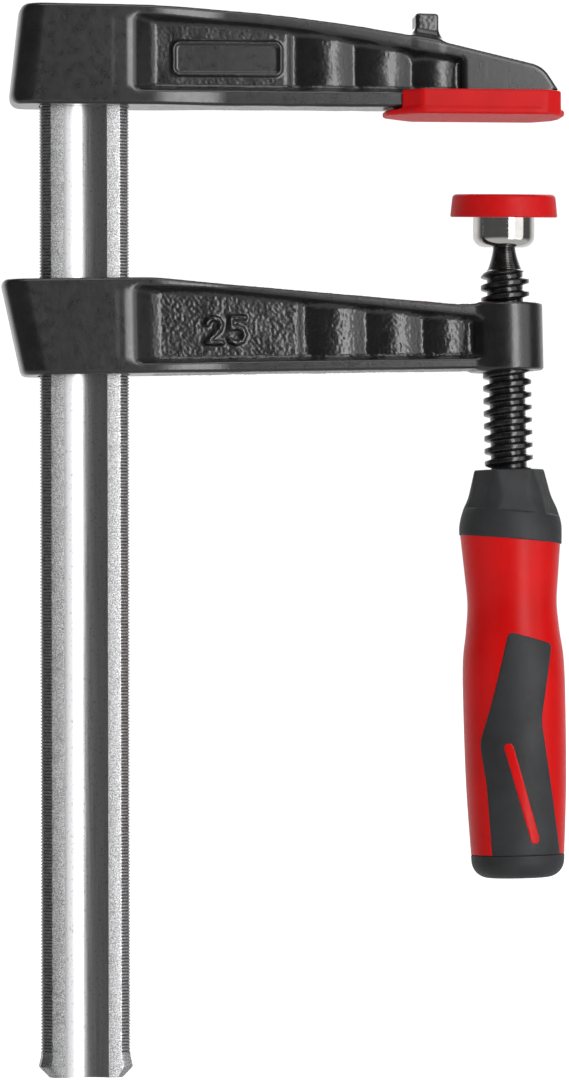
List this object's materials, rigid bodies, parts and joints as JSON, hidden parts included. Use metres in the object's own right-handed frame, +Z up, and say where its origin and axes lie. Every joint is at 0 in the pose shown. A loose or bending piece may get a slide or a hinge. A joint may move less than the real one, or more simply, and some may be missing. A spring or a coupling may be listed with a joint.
{
  "type": "f clamp",
  "caption": "Screw clamp with a flat rail, a cast fixed jaw with a red pad, a sliding cast arm, and a threaded spindle with a swivel plate and a two-colour handle.",
  "frame": {"origin": "on the fixed jaw pad's clamping face, where the screw's axis meets it", "axes": "+Z up the rail towards the fixed jaw, +X from the rail towards the jaws' tips, Y across the clamp's thickness"},
  "size_m": [0.1793, 0.0339, 0.3373],
  "materials": {
    "bright_steel": "bright drawn steel",
    "black_casting": "black lacquer on cast iron",
    "red_pad": "red moulded plastic",
    "black_steel": "blackened and burnished",
    "seat_plastic": "moulded plastic",
    "spring_steel": "spring steel",
    "nickel": "nickel plated",
    "red_handle": "satin red plastic",
    "black_grip": "soft black plastic"
  },
  "bodies": {
    "frame": {"rail": "bright_steel", "fixed_jaw": "black_casting", "jaw_pad": "red_pad"},
    "arm": {"sliding_arm": "black_casting"},
    "ball_seat": {"ball_seat": "seat_plastic"},
    "screw": {"spindle": "black_steel", "handle_core": "red_handle", "handle_collar": "black_grip", "grip_front": "black_grip", "grip_back": "black_grip", "end_cap": "black_grip"},
    "ring": {"retaining_ring": "spring_steel"},
    "plate": {"pressure_plate": "nickel", "plate_cap": "red_pad"}
  },
  "joints": [
    {"name": "arm_slide", "type": "slide", "parent": "frame", "child": "arm", "axis": [0, 0, -1], "range_m": [-0.0032, 0.2145]},
    {"name": "screw_feed", "type": "slide", "parent": "arm", "child": "ball_seat", "axis": [0.0192, 0, -0.9998], "range_m": [-0.016, 0.015]},
    {"name": "screw_spin", "type": "hinge", "parent": "ball_seat", "child": "screw", "pos_m": [0.00068, 0, -0.03549], "axis": [0.0192, 0, -0.9998], "range_deg": [-1440.1, 1350.1]},
    {"name": "plate_tilt_x", "type": "hinge", "parent": "ball_seat", "child": "ring", "pos_m": [0.00068, 0, -0.03549], "axis": [1, 0, 0], "range_deg": [-14.5, 5.5]},
    {"name": "plate_tilt_y", "type": "hinge", "parent": "ring", "child": "plate", "pos_m": [0.00068, 0, -0.03549], "axis": [0, 0.9969, 0.0785], "range_deg": [-10, 10]}
  ],
  "couplings": [
    {"joint": "screw_spin", "follows": "screw_feed", "rad_per_m": 1570.8}
  ]
}
